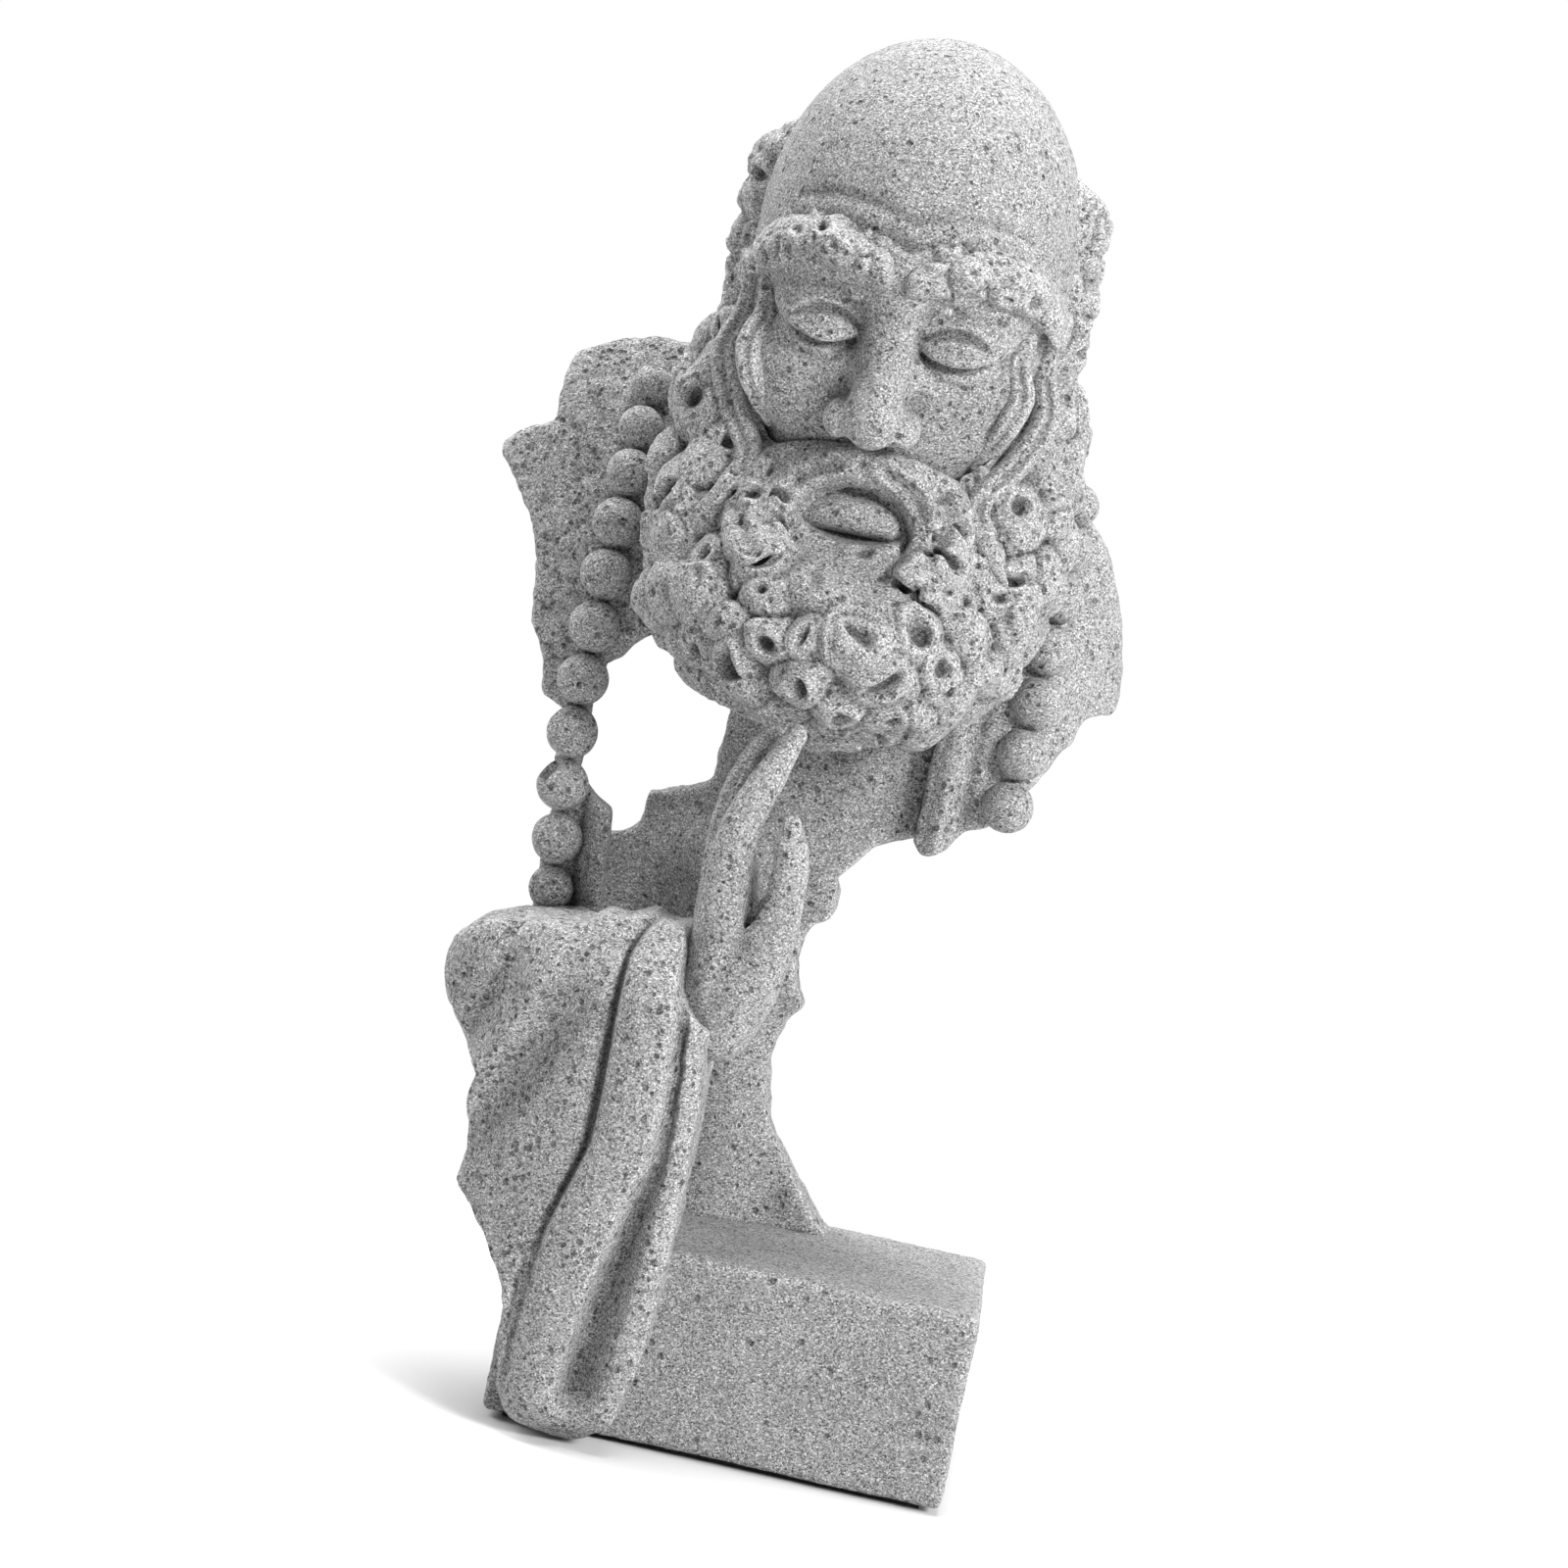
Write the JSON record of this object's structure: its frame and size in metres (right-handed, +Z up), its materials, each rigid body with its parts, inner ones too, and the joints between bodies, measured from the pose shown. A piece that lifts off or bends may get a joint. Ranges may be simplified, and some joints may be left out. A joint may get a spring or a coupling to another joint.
{
  "type": "garden statue",
  "caption": "Cast-stone bust of an old bearded monk with a raised hand, hanging sleeve and prayer beads, its robe broken at the edges, on a rectangular plinth.",
  "frame": {"origin": "middle of the felt's underside, where the statue rests", "axes": "+Z up; the figure faces -Y; +X is the viewer's right when looking at its face"},
  "size_m": [0.134, 0.0999, 0.281],
  "materials": {
    "sandstone": "cast grey sandstone, unsealed, coarse open grain with dark pits",
    "felt": "thin dark pressed felt sheet"
  },
  "bodies": {
    "root": {"base_felt": "felt", "plinth": "sandstone", "chest": "sandstone", "robe_shoulder_left": "sandstone", "robe_shoulder_right": "sandstone", "robe_lapel_left": "sandstone", "head": "sandstone", "cowl": "sandstone", "hair_left": "sandstone", "eyebrow_left": "sandstone", "temple_lock_left": "sandstone", "hair_right": "sandstone", "eyebrow_right": "sandstone", "temple_lock_right": "sandstone", "moustache": "sandstone", "beard": "sandstone", "hand": "sandstone", "sleeve": "sandstone", "bead_left_01": "sandstone", "bead_left_02": "sandstone", "bead_left_03": "sandstone", "bead_left_04": "sandstone", "bead_left_05": "sandstone", "bead_left_06": "sandstone", "bead_left_07": "sandstone", "bead_left_08": "sandstone", "bead_left_09": "sandstone", "bead_left_10": "sandstone", "bead_left_11": "sandstone", "bead_right_01": "sandstone", "bead_right_02": "sandstone", "bead_right_03": "sandstone", "bead_right_04": "sandstone", "bead_right_05": "sandstone", "bead_right_06": "sandstone", "bead_right_07": "sandstone"}
  },
  "joints": []
}
